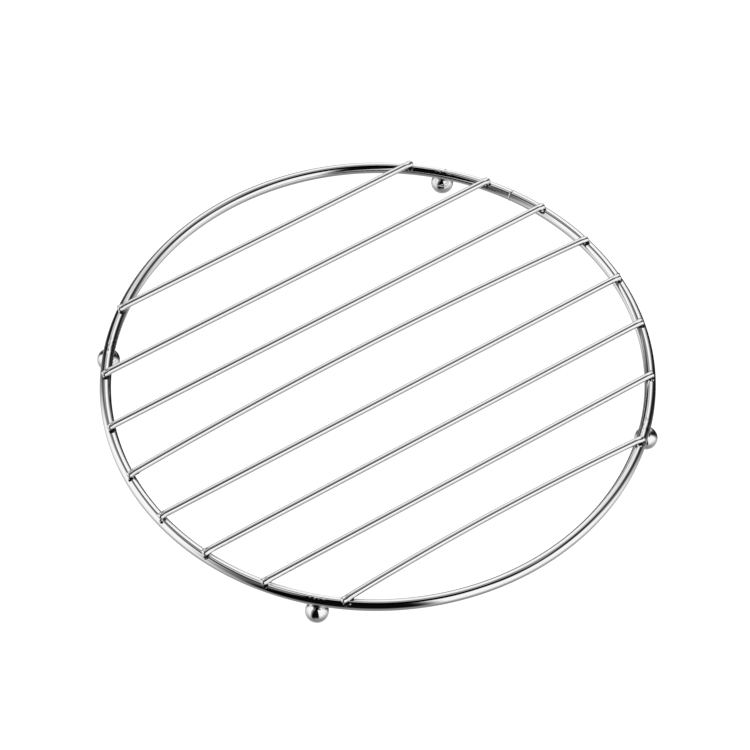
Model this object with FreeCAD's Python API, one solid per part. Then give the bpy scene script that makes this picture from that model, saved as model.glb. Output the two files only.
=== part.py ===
import FreeCAD, Part
import math
import os
from FreeCAD import Vector

# Round wire cooling rack: one ring of thick wire, a row of thinner bars laid across its top,
# and four balls welded under it as feet. Millimetres. +Z is up, the origin is the middle of
# the ring in the plane that the feet stand on, and the bars run along X.

# --- stock sizes ---
ring_outer_diameter = 240.0
ring_wire = 5.0
bar_wire = 3.0
foot_diameter = 10.0

# --- row of bars ---
bar_count = 8
bar_pitch = 25.75
bar_row_shift = -1.0        # the whole row is welded on this far off the ring's middle line
bar_slips = {0: 1.4, 3: -0.4}  # bars welded on off their place in the row, counted from the far one
bar_bows = {3: 3.4, 7: 2.3}  # bars that aren't straight, counted from the far one, and their bow
bar_straight_end = 12.0     # a bowed bar is straight this far in from its ends
bar_end_setback = 1.2       # from the ring's outside to the middle of a bar's cut end
bar_end_rounding = 0.5      # cut ends are tumbled round
bar_set_down = 0.7          # welding sinks a bar this deep into the ring

# --- feet ---
foot_angles = (43.0, 140.0, 225.0, 313.5)   # round the ring, anticlockwise from +X
foot_set_in = 0.4           # welding sinks a foot this deep into the ring
foot_set_out = 0.8          # feet are welded this far outside the ring's middle line

# --- welds ---
bar_weld_spread = 1.2       # how far squeezed-out metal shows beside a bar
bar_weld_thickness = 1.8
foot_weld_radius = 2.6
foot_weld_thickness = 1.4
press_mark_depth = 0.3      # the electrode dishes the top of each bar end
press_mark_radius = 30.0
seam_share = 0.42           # the ring's butt weld lies this far from bar 2's end to bar 3's
seam_width = 1.0
seam_swell = 0.12           # the weld stands this proud of the wire

# --- places that follow ---
ring_radius = (ring_outer_diameter - ring_wire) / 2
ring_z = foot_diameter - foot_set_in + ring_wire / 2
ring_top = ring_z + ring_wire / 2
bar_z = ring_top - bar_set_down + bar_wire / 2
bar_end_radius = ring_outer_diameter / 2 - bar_end_setback
foot_z = foot_diameter / 2
up = Vector(0, 0, 1)


def on_ring(angle, z, outside=0.0):
    """Point above or below the ring wire's centre line, or this far outside it."""
    turn = math.radians(angle)
    radius = ring_radius + outside
    return Vector(radius * math.cos(turn), radius * math.sin(turn), z)


def seam_angle():
    """Direction of the ring's butt weld, between the right ends of the second and third bars."""
    offset = bar_offset(1) - seam_share * bar_pitch
    return math.degrees(math.asin(offset / ring_radius))


def wire_arc(wire_diameter, start_angle, sweep):
    """Stretch of wire bent to the ring's radius, round in section."""
    turn = math.radians(start_angle)
    along = Vector(-math.sin(turn), math.cos(turn), 0)
    section = Part.Wire(Part.makeCircle(wire_diameter / 2, on_ring(start_angle, ring_z), along))
    return Part.Face(section).revolve(Vector(0, 0, 0), up, sweep)


def lens(centre, radius, thickness):
    """Bead of weld metal, thickest in the middle and sharp at its rim."""
    half = thickness / 2
    ball_radius = (radius ** 2 + half ** 2) / (2 * half)
    drop = Vector(0, 0, ball_radius - half)
    lower = Part.makeSphere(ball_radius, centre + drop)
    upper = Part.makeSphere(ball_radius, centre - drop)
    return lower.common(upper)


def bar_offset(index):
    """Distance of a bar's ends from the X axis, the far bar first."""
    return bar_row_shift + bar_pitch * ((bar_count - 1) / 2 - index) + bar_slips.get(index, 0)


def bar_reach(index, radius):
    """Half the length of a bar that ends on a circle of this radius."""
    return math.sqrt(radius ** 2 - bar_offset(index) ** 2)


def straight_wire(index, reach):
    start = Vector(-reach, bar_offset(index), bar_z)
    return Part.makeCylinder(bar_wire / 2, 2 * reach, start, Vector(1, 0, 0))


def bowed_wire(index, reach, bow):
    """Wire with straight ends, and between them an arc that stands this far sideways."""
    lean = 2 * math.atan(bow / (reach + bar_straight_end))
    start = Vector(-reach, bar_offset(index), bar_z)
    along = Vector(math.cos(lean), math.sin(lean), 0)
    bend_start = start + along * bar_straight_end
    middle = Vector(0, bar_offset(index) + bow, bar_z)
    bend_end = Vector(-bend_start.x, bend_start.y, bar_z)
    end = Vector(-start.x, start.y, bar_z)
    left = Part.LineSegment(start, bend_start).toShape()
    bend = Part.Arc(bend_start, middle, bend_end).toShape()
    right = Part.LineSegment(bend_end, end).toShape()
    section = Part.Wire(Part.makeCircle(bar_wire / 2, start, along))
    return Part.Wire([left, bend, right]).makePipeShell([section], True, True)


def bar_blank(index):
    """Wire cut square to length, with the rims of its ends tumbled round."""
    reach = bar_reach(index, bar_end_radius)
    if index in bar_bows:
        wire = bowed_wire(index, reach, bar_bows[index])
    else:
        wire = straight_wire(index, reach)
    ends = [face for face in wire.Faces if face.Surface.TypeId == "Part::GeomPlane"]
    rims = [edge for face in ends for edge in face.Edges]
    return wire.makeFillet(bar_end_rounding, rims)


def press_mark(index, side):
    """Shallow dish that the welding electrode leaves on top of a bar end."""
    crossing = side * bar_reach(index, ring_radius)
    height = bar_z + bar_wire / 2 - press_mark_depth + press_mark_radius
    start = Vector(crossing, bar_offset(index) - bar_wire, height)
    return Part.makeCylinder(press_mark_radius, 2 * bar_wire, start, Vector(0, 1, 0))


def make_bar(index, ring):
    bar = bar_blank(index)
    for side in (-1, 1):
        bar = bar.cut(press_mark(index, side))
    return bar.cut(ring)


def make_bar_weld(index, side, ring, bar):
    crossing = Vector(side * bar_reach(index, ring_radius), bar_offset(index), 0)
    crossing.z = ring_top - bar_set_down / 3
    return lens(crossing, bar_wire / 2 + bar_weld_spread, bar_weld_thickness).cut(ring).cut(bar)


def make_foot(angle, ring):
    return Part.makeSphere(foot_diameter / 2, on_ring(angle, foot_z, foot_set_out)).cut(ring)


def make_foot_weld(angle, ring, foot):
    contact = on_ring(angle, foot_diameter - foot_set_in / 2, foot_set_out / 2)
    return lens(contact, foot_weld_radius, foot_weld_thickness).cut(ring).cut(foot)


def save(shape, name):
    solids = [solid for solid in shape.Solids if solid.Volume > 0]
    Part.makeCompound(solids).exportStep("parts/" + name + ".step")


os.makedirs("parts", exist_ok=True)

seam_turn = math.degrees(seam_width / ring_radius)
seam_start = seam_angle() - seam_turn / 2
ring = wire_arc(ring_wire, seam_start + seam_turn, 360 - seam_turn)
save(ring, "ring")
save(wire_arc(ring_wire + 2 * seam_swell, seam_start, seam_turn), "ring_seam_weld")

for index in range(bar_count):
    number = str(index + 1)
    bar = make_bar(index, ring)
    save(bar, "bar_" + number)
    for side, place in ((-1, "left"), (1, "right")):
        save(make_bar_weld(index, side, ring, bar), "bar_weld_" + number + "_" + place)

for index, angle in enumerate(foot_angles):
    number = str(index + 1)
    foot = make_foot(angle, ring)
    save(foot, "foot_" + number)
    save(make_foot_weld(angle, ring, foot), "foot_weld_" + number)
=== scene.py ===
import math
import random

import bmesh
import bpy
from mathutils import Matrix, Vector, noise


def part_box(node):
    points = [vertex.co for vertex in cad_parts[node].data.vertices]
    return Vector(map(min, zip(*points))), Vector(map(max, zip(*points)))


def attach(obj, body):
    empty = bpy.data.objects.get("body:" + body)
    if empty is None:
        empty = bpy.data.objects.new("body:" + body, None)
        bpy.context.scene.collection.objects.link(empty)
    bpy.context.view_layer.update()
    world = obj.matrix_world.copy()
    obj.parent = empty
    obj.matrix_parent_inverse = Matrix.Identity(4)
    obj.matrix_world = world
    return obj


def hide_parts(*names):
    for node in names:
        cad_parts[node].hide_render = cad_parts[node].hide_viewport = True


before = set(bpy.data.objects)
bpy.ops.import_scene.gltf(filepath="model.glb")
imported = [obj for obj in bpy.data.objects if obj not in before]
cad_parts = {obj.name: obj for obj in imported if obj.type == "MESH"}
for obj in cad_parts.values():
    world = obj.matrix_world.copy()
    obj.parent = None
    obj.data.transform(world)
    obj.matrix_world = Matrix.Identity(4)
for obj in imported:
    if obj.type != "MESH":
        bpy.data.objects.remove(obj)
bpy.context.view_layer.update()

# A round wire cooling rack: a thick polished ring, eight thinner bars welded across its top,
# four welded ball feet. Metres. The bars run along X and the rack stands on z = 0.

MM = 0.001


# ---------------------------------------------------------------- sizes, read off the frame

def box_size(node):
    low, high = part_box(node)
    return Vector(high) - Vector(low)


def box_middle(node):
    low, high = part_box(node)
    return (Vector(high) + Vector(low)) / 2


RING_WIRE = box_size("ring").z
RING_RADIUS = (max(box_size("ring")) - RING_WIRE) / 2
RING_Z = box_middle("ring").z
BAR_WIRE = box_size("bar_1").z
BAR_Z = box_middle("bar_1").z
FOOT_RADIUS = box_size("foot_1").y / 2
BARS = range(1, 9)
FEET = range(1, 5)
SIDES = {"left": -1, "right": 1}

# ---------------------------------------------------------------- finishing sizes

RING_SECTION = 48           # sides of the ring's round section
RING_STEPS = 1440           # steps round the ring
MARK_REACH = 4.5 * MM       # the foot welder's upper electrode scuffs the ring's top this far
MARK_DEPTH = 0.16 * MM
MARK_FADE = 1.3             # the scuff is gone at this many reaches from its middle
MARK_LOWEST = 0.18          # it starts this high above the wire's middle, as a share of its thickness,
MARK_FULL = 0.38            # and has its full depth from here up
MARK_PITS = ((900, 0.7), (2100, 0.5))   # pits to a metre and their share of the depth
MARK_BIAS = 0.15            # the more, the less skin is left between the pits
BAR_SECTION = 32
BAR_TIP_STEP = 0.1 * MM     # length of a bar's facets on its rounded nose
BAR_PAD_STEP = 0.3 * MM     # where the weld press flattened it
BAR_STEP = 4 * MM           # and along the rest
BAR_TIP_STRETCH = 1.2 * MM  # how far from the tip the first two reach
BAR_PAD_STRETCH = 9 * MM
PAD_REACH = 2.4 * MM        # how far each way a weld press flattens a bar end
PAD_SQUASH = 0.07           # share of its height that the bar loses under the press
PAD_SPREAD = 0.08           # share of its width that it gains there
PRESS_SPREAD = (0.75, 1.25)  # the press is lighter on some ends than on others
TIP_ROUNDING = 1.0 * MM     # bar ends are tumbled to a soft nose
TIP_FLAT = 0.02             # share of its radius that stays flat at the very tip
TIP_DROOP = 0.06 * MM       # the press bends a bar's nose down over the ring's shoulder
DROOP_START = 1.5 * MM      # the droop begins this far inside the ring's middle line
FOOT_TOP_OVERLAP = 0.3 * MM  # a ball is cut flat this far inside the ring
FOOT_WEAR = 0.012 * MM      # worn flat where it stands
FOOT_SEGMENTS = 64          # facets round a ball
FOOT_BANDS = 48             # and from pole to pole
MERGE_DISTANCE = 0.002 * MM
CUT_DISTANCE = 0.0001 * MM


def bar_shape(number):
    """Half length, offset of the ends and sideways bow of a bar."""
    low, high = (Vector(corner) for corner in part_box(f"bar_{number}"))
    reach = (high.x - low.x) / 2
    return reach, low.y + BAR_WIRE / 2, high.y - low.y - BAR_WIRE


def crossing(number, side):
    """Where a bar's middle line passes over the ring's."""
    offset = bar_shape(number)[1]
    return Vector((side * math.sqrt(RING_RADIUS ** 2 - offset ** 2), offset, RING_Z))


def ease(value):
    """Smooth step from 0 to 1."""
    value = min(max(value, 0), 1)
    return value * value * (3 - 2 * value)


# ---------------------------------------------------------------- mesh helpers

def new_piece(name, mesh, material, slot, *nodes):
    """Show a mesh in place of one or more CAD nodes."""
    piece = bpy.data.objects.new(name, mesh)
    bpy.context.scene.collection.objects.link(piece)
    mesh.materials.append(material)
    mesh.shade_smooth()
    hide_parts(*nodes)
    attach(piece, "root")
    return piece


def finished(shape, name):
    """Close up a bmesh, point its faces outwards and hand back its mesh."""
    bmesh.ops.remove_doubles(shape, verts=shape.verts, dist=MERGE_DISTANCE)
    bmesh.ops.recalc_face_normals(shape, faces=shape.faces)
    mesh = bpy.data.meshes.new(name)
    shape.to_mesh(mesh)
    shape.free()
    return mesh


def upright_circle(shape, radius, segments):
    """Circle in the YZ plane round the X axis."""
    turn = Matrix.Rotation(math.radians(90), 4, "Y")
    made = bmesh.ops.create_circle(shape, cap_ends=False, radius=radius, segments=segments, matrix=turn)
    return made["verts"]


def extruded(shape, verts):
    """Extrude a loop of vertices and return the new loop."""
    loop = set(verts)
    edges = [edge for edge in shape.edges if edge.verts[0] in loop and edge.verts[1] in loop]
    made = bmesh.ops.extrude_edge_only(shape, edges=edges)["geom"]
    return [item for item in made if isinstance(item, bmesh.types.BMVert)]


# ---------------------------------------------------------------- ring

PRESSED = [Vector((*box_middle(f"foot_{number}").xy.normalized(), 0)) * RING_RADIUS for number in FEET]


def scuff(point):
    """How far the ring's skin is dented at a point above a foot."""
    if point.z < RING_Z:
        return Vector()
    reach = min((point.xy - spot.xy).length for spot in PRESSED)
    height = (point.z - RING_Z) / RING_WIRE
    near = ease(MARK_FADE - reach / MARK_REACH) * ease((height - MARK_LOWEST) / (MARK_FULL - MARK_LOWEST))
    if near == 0:
        return Vector()
    out = Vector((point.x, point.y, 0)).normalized()
    skin = (point - out * RING_RADIUS - Vector((0, 0, RING_Z))).normalized()
    bite = sum(noise.noise(point * fineness) * share for fineness, share in MARK_PITS)
    return skin * near * MARK_DEPTH * max(bite + MARK_BIAS, 0)


def ring_mesh():
    """Round wire bent to a ring, with the electrode's scuffs above its feet."""
    shape = bmesh.new()
    verts = upright_circle(shape, RING_WIRE / 2, RING_SECTION)
    bmesh.ops.rotate(shape, verts=verts, cent=(0, 0, 0), matrix=Matrix.Rotation(math.radians(90), 3, "Z"))
    bmesh.ops.translate(shape, verts=verts, vec=(RING_RADIUS, 0, RING_Z))
    bmesh.ops.spin(shape, geom=shape.verts[:] + shape.edges[:], cent=(0, 0, 0), axis=(0, 0, 1),
                   angle=math.radians(360), steps=RING_STEPS, use_merge=True)
    for vert in shape.verts:
        vert.co -= scuff(vert.co)
    return finished(shape, "ring_wire")


# ---------------------------------------------------------------- bars

def bar_stations(reach):
    """Distances from the middle of a bar, close together where it is pressed and rounded."""
    spots = []
    place = reach
    while place > 0:
        spots.append(place)
        from_tip = reach - place
        if from_tip < BAR_TIP_STRETCH:
            place -= BAR_TIP_STEP
        elif from_tip < BAR_PAD_STRETCH:
            place -= BAR_PAD_STEP
        else:
            place -= BAR_STEP
    return [-spot for spot in spots] + [0.0] + spots[::-1]


def bar_mesh(number):
    """Straight or bowed wire, pressed flat over the ring and rounded at its tips."""
    reach, offset, bow = bar_shape(number)
    dice = random.Random(number)
    press = {side: dice.uniform(*PRESS_SPREAD) for side in (-1, 1)}
    pad_x = abs(crossing(number, 1).x)
    shape = bmesh.new()
    loop = upright_circle(shape, BAR_WIRE / 2, BAR_SECTION)
    around = [(vert.co.y, vert.co.z) for vert in loop]
    for place in bar_stations(reach):
        if place > -reach:
            loop = extruded(shape, loop)
        side = math.copysign(1, place)
        from_tip = reach - abs(place)
        nose = max(math.sqrt(1 - (1 - min(from_tip / TIP_ROUNDING, 1)) ** 2), TIP_FLAT)
        pressed = ease(1 - abs(abs(place) - pad_x) / PAD_REACH) * press[side]
        droop = TIP_DROOP * ease((abs(place) - pad_x + DROOP_START) / (2 * DROOP_START)) * press[side]
        sideways = offset + bow * (1 - (place / reach) ** 2)
        for vert, (y, z) in zip(loop, around):
            y *= nose * (1 + PAD_SPREAD * pressed)
            z *= nose * (1 - PAD_SQUASH * pressed)
            lift = BAR_WIRE / 2 * PAD_SQUASH * pressed
            vert.co = (place, sideways + y, BAR_Z + z - lift - droop)
    bmesh.ops.holes_fill(shape, edges=[edge for edge in shape.edges if edge.is_boundary])
    return finished(shape, f"bar_{number}")


# ---------------------------------------------------------------- feet

def foot_mesh(number):
    """Ball, flat where it is fused to the ring and just worn flat where it stands."""
    shape = bmesh.new()
    middle = box_middle(f"foot_{number}")
    made = bmesh.ops.create_uvsphere(shape, u_segments=FOOT_SEGMENTS, v_segments=FOOT_BANDS,
                                     radius=FOOT_RADIUS)
    bmesh.ops.translate(shape, verts=made["verts"], vec=(middle.x, middle.y, FOOT_RADIUS))
    for height, side in ((RING_Z - RING_WIRE / 2 + FOOT_TOP_OVERLAP, 1), (FOOT_WEAR, -1)):
        geom = shape.verts[:] + shape.edges[:] + shape.faces[:]
        cut = bmesh.ops.bisect_plane(shape, geom=geom, dist=CUT_DISTANCE, plane_co=(0, 0, height),
                                     plane_no=(0, 0, side), clear_outer=True)
        rim = [item for item in cut["geom_cut"] if isinstance(item, bmesh.types.BMEdge)]
        bmesh.ops.holes_fill(shape, edges=rim)
    return finished(shape, f"foot_{number}")


# ---------------------------------------------------------------- welds

WELD_GRAIN = 0.15 * MM      # size of the facets that a weld is remade from
WELD_SOFTENING = 10         # rounds of smoothing, which fill the corners
UNDERSIZE = 0.07 * MM       # stubs inside the wires stay this far under their skin
BAR_STUB_UNDERSIZE = 0.17 * MM  # more in a bar, which the press flattens
STUB_SECTION = 40
LUMP_ROUNDNESS = 4          # how many times a lump's facets are divided
LUMP_WAVINESS = 1.6         # how fine a lump's unevenness is, for its size
BAR_STUB_LENGTH = 5 * MM
BAR_STUB_SETBACK = 0.5 * MM  # from the bar's tip
BAR_STUB_DROP = 0.25 * MM   # below the bar's middle line, as the press pushes it down
RING_STUB = 3.4 * MM        # half lengths of the ring's stubs under a bar weld,
FOOT_RING_STUB = 3.0 * MM   # over a foot
SEAM_STUB = 2.5 * MM        # and in the seam

# Lumps beside a bar end: which side, how many, and their smallest and largest half sizes.
# More metal is squeezed out towards -Y than towards +Y.
BAR_LUMPS = ((-1, 4, 0.65 * MM, 1.1 * MM), (1, 3, 0.4 * MM, 0.8 * MM))
LUMP_LIFT = RING_WIRE / 2 - 0.35 * MM   # above the ring's middle line
LUMP_ALONG = (-0.5, 1.1)                # mm along the bar
LUMP_LEAN = 0.6                         # mm further along on the +Y side, and back on the other
LUMP_ASIDE = (1.4, 2.0)                 # mm from the bar's middle line
LUMP_TURN = 0.8                         # radians either way
BAR_LUMP_UNEVENNESS = 0.35

FOOT_LUMP = Vector((2.6, 1.9, 0.7)) * MM    # half sizes along the ring, across it and up
FOOT_LUMP_UNEVENNESS = 0.12
FOOT_LUMP_OUT = 0.3 * MM    # outside the ring's middle line
FOOT_LUMP_DROP = 0.1 * MM   # below the ring's underside
SEAM_SWELL = 0.16 * MM      # how far the seam's bead stands off the wire
SEAM_HALF_WIDTH = 1.2 * MM
SEAM_UNEVENNESS = 0.03


def stub_of_ring(shape, middle, half_length):
    """Short stretch of the ring's wire, a little thin, under a weld."""
    along = Vector((-middle.y, middle.x, 0)).normalized()
    turn = along.to_track_quat("Z", "Y").to_matrix().to_4x4()
    place = Matrix.Translation(Vector((middle.x, middle.y, RING_Z))) @ turn
    bmesh.ops.create_cone(shape, cap_ends=True, segments=STUB_SECTION, radius1=RING_WIRE / 2 - UNDERSIZE,
                          radius2=RING_WIRE / 2 - UNDERSIZE, depth=2 * half_length, matrix=place)


def stub_of_bar(shape, number, side, length):
    """End of a bar, a little thin, under a weld."""
    reach, offset, _ = bar_shape(number)
    turn = Matrix.Rotation(math.radians(90), 4, "Y")
    tip = reach - BAR_STUB_SETBACK
    place = Matrix.Translation(Vector((side * (tip - length / 2), offset, BAR_Z - BAR_STUB_DROP))) @ turn
    radius = BAR_WIRE / 2 - BAR_STUB_UNDERSIZE
    bmesh.ops.create_cone(shape, cap_ends=True, segments=BAR_SECTION, radius1=radius, radius2=radius,
                          depth=length, matrix=place)


def lump(shape, middle, halves, turn, dice, roughness):
    """Rounded lump of weld metal with an uneven skin."""
    place = Matrix.Translation(middle) @ Matrix.Rotation(turn, 4, "Z")
    made = bmesh.ops.create_icosphere(shape, subdivisions=LUMP_ROUNDNESS, radius=1)
    drift = Vector([dice.uniform(0, 50) for _ in range(3)])
    for vert in made["verts"]:
        swell = 1 + roughness * noise.noise(vert.co * LUMP_WAVINESS + drift)
        vert.co = place @ Vector(vert.co[i] * halves[i] * swell for i in range(3))


def remade(shape, name):
    """Melt overlapping lumps into one skin and let its corners fill."""
    rough = bpy.data.meshes.new(name + "_rough")
    shape.to_mesh(rough)
    shape.free()
    holder = bpy.data.objects.new(name + "_rough", rough)
    bpy.context.scene.collection.objects.link(holder)
    melt = holder.modifiers.new("melt", "REMESH")
    melt.mode = "VOXEL"
    melt.voxel_size = WELD_GRAIN
    soften = holder.modifiers.new("soften", "SMOOTH")
    soften.factor = 0.5
    soften.iterations = WELD_SOFTENING
    evaluated = holder.evaluated_get(bpy.context.evaluated_depsgraph_get())
    mesh = bpy.data.meshes.new_from_object(evaluated)
    mesh.name = name
    bpy.data.objects.remove(holder)
    bpy.data.meshes.remove(rough)
    return mesh


def bar_weld_mesh(number, side, name):
    """Metal squeezed out on both sides of a bar end."""
    dice = random.Random(100 * number + side)
    middle = crossing(number, side)
    shape = bmesh.new()
    stub_of_ring(shape, middle, RING_STUB)
    stub_of_bar(shape, number, side, BAR_STUB_LENGTH)
    for way, count, smallest, largest in BAR_LUMPS:
        for _ in range(count):
            along = (dice.uniform(*LUMP_ALONG) + way * LUMP_LEAN) * MM
            nudge = Vector((along, way * dice.uniform(*LUMP_ASIDE) * MM, LUMP_LIFT))
            halves = Vector([dice.uniform(smallest, largest) for _ in range(3)])
            turn = dice.uniform(-LUMP_TURN, LUMP_TURN)
            lump(shape, middle + nudge, halves, turn, dice, BAR_LUMP_UNEVENNESS)
    return remade(shape, name)


def foot_weld_mesh(number, name):
    """Bead between a ball and the ring."""
    dice = random.Random(500 + number)
    middle = box_middle(f"foot_{number}")
    out = Vector((middle.x, middle.y, 0)).normalized()
    shape = bmesh.new()
    stub_of_ring(shape, out * RING_RADIUS, FOOT_RING_STUB)
    ball = Matrix.Translation(Vector((middle.x, middle.y, FOOT_RADIUS)))
    radius = FOOT_RADIUS - UNDERSIZE
    bmesh.ops.create_icosphere(shape, subdivisions=LUMP_ROUNDNESS, radius=radius, matrix=ball)
    contact = out * (RING_RADIUS + FOOT_LUMP_OUT)
    contact.z = RING_Z - RING_WIRE / 2 - FOOT_LUMP_DROP
    along = math.atan2(middle.y, middle.x) + math.radians(90)
    lump(shape, contact, FOOT_LUMP, along, dice, FOOT_LUMP_UNEVENNESS)
    return remade(shape, name)


def seam_mesh(name):
    """Low bead round the ring where its two ends meet."""
    dice = random.Random(7)
    seam = box_middle("ring_seam_weld")
    turn = math.atan2(seam.y, seam.x)
    middle = Vector((RING_RADIUS * math.cos(turn), RING_RADIUS * math.sin(turn), RING_Z))
    half = RING_WIRE / 2 + SEAM_SWELL
    shape = bmesh.new()
    stub_of_ring(shape, seam, SEAM_STUB)
    lump(shape, middle, Vector((half, SEAM_HALF_WIDTH, half)), turn, dice, SEAM_UNEVENNESS)
    return remade(shape, name)


# ---------------------------------------------------------------- shader helpers

class Flow:
    """One output in a shader. Ordinary maths on it adds the Math nodes."""

    def __init__(self, tree, socket):
        self.tree = tree
        self.socket = socket

    def math(self, operation, *others):
        """Math node on this value and, for some operations, others."""
        values = dict(enumerate((self, *others)))
        return node(self.tree, "ShaderNodeMath", {"operation": operation}, values)

    def __add__(self, other):
        return self.math("ADD", other)

    def __sub__(self, other):
        return self.math("SUBTRACT", other)

    def __rsub__(self, other):
        return node(self.tree, "ShaderNodeMath", {"operation": "SUBTRACT"}, {0: other, 1: self})

    def __mul__(self, other):
        return self.math("MULTIPLY", other)

    __radd__ = __add__
    __rmul__ = __mul__

    def size(self):
        return self.math("ABSOLUTE")

    def lower_of(self, other):
        return self.math("MINIMUM", other)

    def step(self, start, end):
        """0 before start and 1 after end, with a smooth rise between."""
        settings = {"interpolation_type": "SMOOTHSTEP"}
        return node(self.tree, "ShaderNodeMapRange", settings, {0: self, 1: start, 2: end})


def node(tree, kind, settings, inputs, output=0):
    """Add a node: its settings first, then the values or links of its sockets."""
    made = tree.nodes.new(kind)
    for name, value in settings.items():
        setattr(made, name, value)
    for key, value in inputs.items():
        if isinstance(value, Flow):
            tree.links.new(value.socket, made.inputs[key])
        else:
            made.inputs[key].default_value = value
    return Flow(tree, made.outputs[output]) if made.outputs else None


def blank_material(name):
    """Material with an empty tree, and that tree."""
    material = bpy.data.materials.new(name)
    material.use_nodes = True
    material.node_tree.nodes.clear()
    return material, material.node_tree


def object_place(tree):
    """The point on the piece, as a vector and as x, y and z."""
    place = node(tree, "ShaderNodeTexCoord", {}, {}, "Object")
    parts = [node(tree, "ShaderNodeSeparateXYZ", {}, {0: place}, axis) for axis in range(3)]
    return place, parts


def grain(tree, place, per_metre, detail=2.0, rough=0.5):
    """Noise from 0 to 1; per_metre is its fineness along each axis."""
    stretched = node(tree, "ShaderNodeVectorMath", {"operation": "MULTIPLY"}, {0: place, 1: per_metre})
    inputs = {"Vector": stretched, "Scale": 1.0, "Detail": detail, "Roughness": rough}
    return node(tree, "ShaderNodeTexNoise", {}, inputs)


def vector_of(tree, x, y, z):
    """Vector put together from three values."""
    return node(tree, "ShaderNodeCombineXYZ", {}, {0: x, 1: y, 2: z})


def mixed(tree, share, first, second):
    """Blend of two colours."""
    return node(tree, "ShaderNodeMix", {"data_type": "RGBA"}, {0: share, 6: first, 7: second}, 2)


def metal(name, build):
    """Polished metal whose colour, roughness and surface height come from build."""
    material, tree = blank_material(name)
    colour, roughness, height, depth = build(tree)
    bump = node(tree, "ShaderNodeBump", {}, {"Strength": 1.0, "Distance": depth, "Height": height})
    inputs = {"Base Color": colour, "Metallic": 1.0, "Roughness": roughness, "Normal": bump}
    shader = node(tree, "ShaderNodeBsdfPrincipled", {}, inputs)
    node(tree, "ShaderNodeOutputMaterial", {}, {"Surface": shader})
    return material


BRIGHT = (0.955, 0.955, 0.960, 1)
DULL = (0.86, 0.86, 0.865, 1)
CREVICE_SHADE = (0.022, 0.022, 0.024, 1)    # near-black painted shade, standing in for the shadow in the crevices beside the welds


def wire_finish(along_ring):
    """Drawn and polished wire: faint lines along it, slow waves, a dull bloom at the welds."""
    def build(tree):
        place, (x, y, z) = object_place(tree)
        from_middle = (x * x + y * y).math("SQRT")
        if along_ring:
            along = y.math("ARCTAN2", x) * RING_RADIUS
            lengthwise = vector_of(tree, along, from_middle, z)
        else:
            lengthwise = place
        lines = grain(tree, lengthwise, (40, 4200, 4200), 3.0)
        waves = grain(tree, lengthwise, (55, 160, 160), 1.0)
        clouds = grain(tree, lengthwise, (90, 300, 300), 2.0)
        specks = grain(tree, place, (2600, 2600, 2600), 2.0, 0.6)
        if along_ring:
            bloom = clouds * 0.3
        else:
            bloom = 1 - (from_middle - RING_RADIUS).size().step(1.5 * MM, 5.5 * MM)
        colour = mixed(tree, (clouds * 0.35 + bloom * 0.4).lower_of(1.0), BRIGHT, DULL)
        roughness = lines * 0.035 + clouds * 0.02 + bloom * (0.03 + specks * 0.06) + 0.015
        height = lines * 0.006 + waves * 1.0 + specks * bloom * 0.03
        return colour, roughness, height, 0.05 * MM
    return build


def ball_finish(tree):
    """Tumbled and polished ball."""
    place, _ = object_place(tree)
    clouds = grain(tree, place, (200, 200, 200), 2.0)
    specks = grain(tree, place, (2200, 2200, 2200), 2.0, 0.6)
    colour = mixed(tree, clouds * 0.4, BRIGHT, DULL)
    roughness = clouds * 0.03 + specks * 0.03 + 0.015
    height = clouds * 1.0 + specks * 0.02
    return colour, roughness, height, 0.02 * MM


def weld_finish(tree):
    """Squeezed-out metal, tumbled bright but still pitted, with near-black patches of painted shade for
    the crevices' shadow.
    """
    place, _ = object_place(tree)
    clouds = grain(tree, place, (500, 500, 500), 3.0)
    pits = grain(tree, place, (1800, 1800, 1800), 4.0, 0.7)
    # Painted shade: noise patches of near-black colour stand in for the shadow in the crevices beside the
    # welds; the roughness is raised there too.
    crevice_shade = grain(tree, place, (900, 900, 900), 2.0).step(0.34, 0.48)
    colour = mixed(tree, crevice_shade, BRIGHT, CREVICE_SHADE)
    roughness = clouds * 0.06 + pits * 0.08 + crevice_shade * 0.2 + 0.04
    height = pits * 0.8 + clouds * 0.6
    return colour, roughness, height, 0.06 * MM


# ---------------------------------------------------------------- studio

CAMERA_AZIMUTH = math.radians(-32.18)
CAMERA_ELEVATION = math.radians(53.31)
CAMERA_DISTANCE = 1.5346
CAMERA_LENS = 170.6                 # mm, as is the sensor
SENSOR_WIDTH = 36
CAMERA_ROLL = math.radians(0.678)
CAMERA_SHIFT = (-0.0035, 0.0019)    # the ring's middle sits a little right of and below the frame's


def make_camera():
    flat = math.cos(CAMERA_ELEVATION)
    aside = math.sin(CAMERA_AZIMUTH) * flat
    ahead = -math.cos(CAMERA_AZIMUTH) * flat
    back = Vector((aside, ahead, math.sin(CAMERA_ELEVATION)))
    data = bpy.data.cameras.new("camera")
    data.lens = CAMERA_LENS
    data.sensor_width = SENSOR_WIDTH
    data.shift_x, data.shift_y = CAMERA_SHIFT
    camera = bpy.data.objects.new("camera", data)
    bpy.context.scene.collection.objects.link(camera)
    look = (-back).to_track_quat("-Z", "Y").to_matrix() @ Matrix.Rotation(-CAMERA_ROLL, 3, "Z")
    place = Matrix.Translation(Vector((0, 0, RING_Z)) + back * CAMERA_DISTANCE)
    camera.matrix_world = place @ look.to_4x4()
    bpy.context.scene.camera = camera


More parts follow.
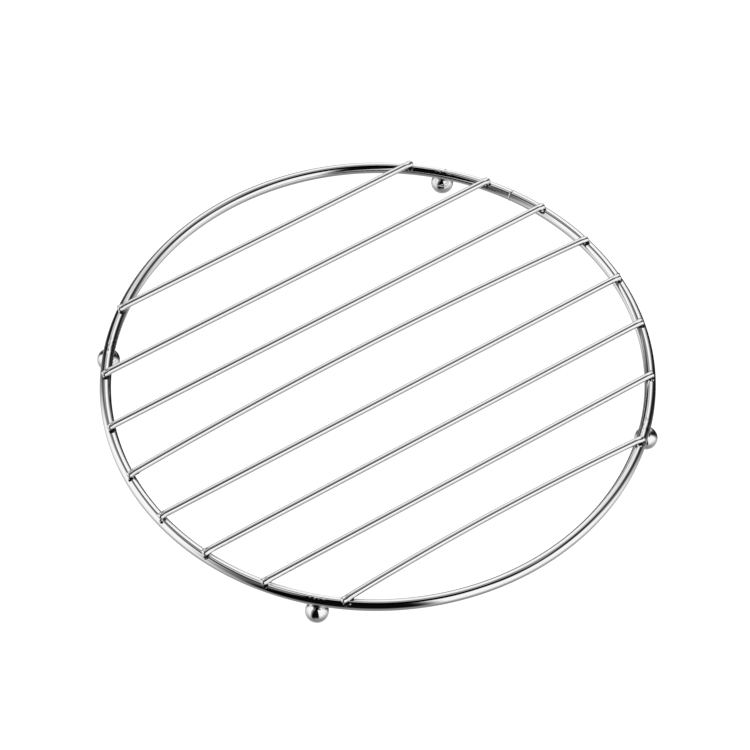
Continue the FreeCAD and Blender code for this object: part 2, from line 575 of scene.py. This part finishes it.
# Dark cards round the white tent, seen from the rack, in degrees. Azimuth starts at the camera
# and is positive to its right. Each is: azimuth, elevation, half its width, half its height,
# softness sideways, softness upwards, lean (sideways per degree up) and darkness.
CARDS = (
    (-13, 37, 29, 57, 12, 32, 0.0, 0.90),     # flag in front, round the camera
    (-45, 22, 14, 50, 28, 50, -0.3, 0.58),    # its soft left side
    (-94, 66, 36, 7, 24, 12, 0.0, 0.85),      # roof seam, left
    (91, 59, 38, 8, 24, 10, 0.0, 0.91),       # roof seam, right
    (121, 8, 20, 44, 34, 34, -0.3, 0.84),     # gap beside the backdrop, right
    (152, -27, 16, 24, 16, 16, 0.0, 0.60),    # foot of that gap
    (160, 66, 32, 6, 24, 12, 0.0, 0.50),      # roof seam, behind to the right
    (-139, 12, 13, 36, 24, 40, 0.0, 0.84),    # gap beside the backdrop, left
    (-164, -24, 13, 30, 14, 16, 0.0, 0.50),   # foot of the backdrop, left
    (-158, 58, 20, 7, 20, 12, 0.0, 0.62),     # roof seam, behind to the left
)
ROOF_HOLE = (35, 81, 13, 25, 0.93)  # azimuth, elevation, where it starts and ends to fade, darkness
WALL_LIGHT = 1.00
TABLE_LIGHT = (0.68, 0.22)          # mean brightness of the table, and how much more it has behind
TABLE_FADE = (-8, 55)               # angles below level between which the walls become table
CONTRAST = 2.5                      # from brightness as it looks to amount of light
FLOOR_RADIUS = 6
FLOOR_GLOW = 0.95


def studio_sky(tree):
    """Brightness of the white tent, its dark cards and the table in each direction."""
    ray = node(tree, "ShaderNodeTexCoord", {}, {}, "Generated")
    turn = CAMERA_AZIMUTH

    def along(direction):
        dot = {"operation": "DOT_PRODUCT"}
        return node(tree, "ShaderNodeVectorMath", dot, {0: ray, 1: direction}, "Value")

    toward = Vector((math.sin(turn), -math.cos(turn), 0))
    right = Vector((math.cos(turn), math.sin(turn), 0))
    ahead = along(toward)
    azimuth = along(right).math("ARCTAN2", ahead) * math.degrees(1)
    elevation = along((0, 0, 1)).math("ARCSINE") * math.degrees(1)
    table = (0 - elevation).step(*TABLE_FADE)
    middle, behind = TABLE_LIGHT
    light = (1 - table) * WALL_LIGHT + table * (middle - ahead * behind)
    for aside, rise, half_width, half_height, soft_x, soft_y, lean, darkness in CARDS:
        height = elevation - rise
        across = (azimuth - aside - height * lean).math("WRAP", 180, -180).size()
        inside = 1 - across.step(half_width - soft_x / 2, half_width + soft_x / 2)
        inside = inside * (1 - height.size().step(half_height - soft_y / 2, half_height + soft_y / 2))
        light = light * (1 - inside * darkness)
    aside, rise, start, end, darkness = ROOF_HOLE
    flat = math.cos(math.radians(rise))
    hole = (toward * math.cos(math.radians(aside)) + right * math.sin(math.radians(aside))) * flat
    hole.z = math.sin(math.radians(rise))
    from_hole = along(hole).lower_of(1.0).math("ARCCOSINE") * math.degrees(1)
    light = light * (1 - (1 - from_hole.step(start, end)) * darkness)
    return light.math("POWER", CONTRAST)


def make_world():
    """The rack reflects the studio; the camera itself sees plain white."""
    world = bpy.data.worlds.new("studio")
    bpy.context.scene.world = world
    world.use_nodes = True
    tree = world.node_tree
    tree.nodes.clear()
    seen = node(tree, "ShaderNodeLightPath", {}, {}, "Is Camera Ray")
    sky = studio_sky(tree)
    level = sky * (1 - seen) + seen
    shown = node(tree, "ShaderNodeBackground", {}, {"Color": (1, 1, 1, 1), "Strength": level})
    node(tree, "ShaderNodeOutputWorld", {}, {"Surface": shown})


def make_floor():
    """White table, lit evenly and left out of reflections."""
    shape = bmesh.new()
    bmesh.ops.create_circle(shape, cap_ends=True, radius=FLOOR_RADIUS, segments=64)
    mesh = bpy.data.meshes.new("floor")
    shape.to_mesh(mesh)
    shape.free()
    floor = bpy.data.objects.new("floor", mesh)
    bpy.context.scene.collection.objects.link(floor)
    material, tree = blank_material("white_table")
    inputs = {"Base Color": (0.5, 0.5, 0.5, 1), "Roughness": 0.9, "Specular IOR Level": 0.0,
              "Emission Color": (1, 1, 1, 1), "Emission Strength": FLOOR_GLOW}
    shader = node(tree, "ShaderNodeBsdfPrincipled", {}, inputs)
    node(tree, "ShaderNodeOutputMaterial", {}, {"Surface": shader})
    mesh.materials.append(material)
    floor.visible_glossy = False


# ---------------------------------------------------------------- build

ring_metal = metal("polished_ring_wire", wire_finish(True))
bar_metal = metal("polished_bar_wire", wire_finish(False))
ball_metal = metal("polished_ball", ball_finish)
weld_metal = metal("tumbled_weld", weld_finish)

new_piece("ring_wire", ring_mesh(), ring_metal, "ring_wire", "ring")
new_piece("ring_seam", seam_mesh("ring_seam"), ball_metal, "weld_metal", "ring_seam_weld")

for number in BARS:
    new_piece(f"wire_bar_{number}", bar_mesh(number), bar_metal, "bar_wire", f"bar_{number}")
    for place, side in SIDES.items():
        name = f"weld_{number}_{place}"
        new_piece(name, bar_weld_mesh(number, side, name), weld_metal, "weld_metal",
                  f"bar_weld_{number}_{place}")

for number in FEET:
    new_piece(f"ball_foot_{number}", foot_mesh(number), ball_metal, "ball_feet", f"foot_{number}")
    name = f"foot_joint_{number}"
    new_piece(name, foot_weld_mesh(number, name), weld_metal, "weld_metal", f"foot_weld_{number}")

make_floor()
make_world()
make_camera()
bpy.context.scene.view_settings.view_transform = "Standard"
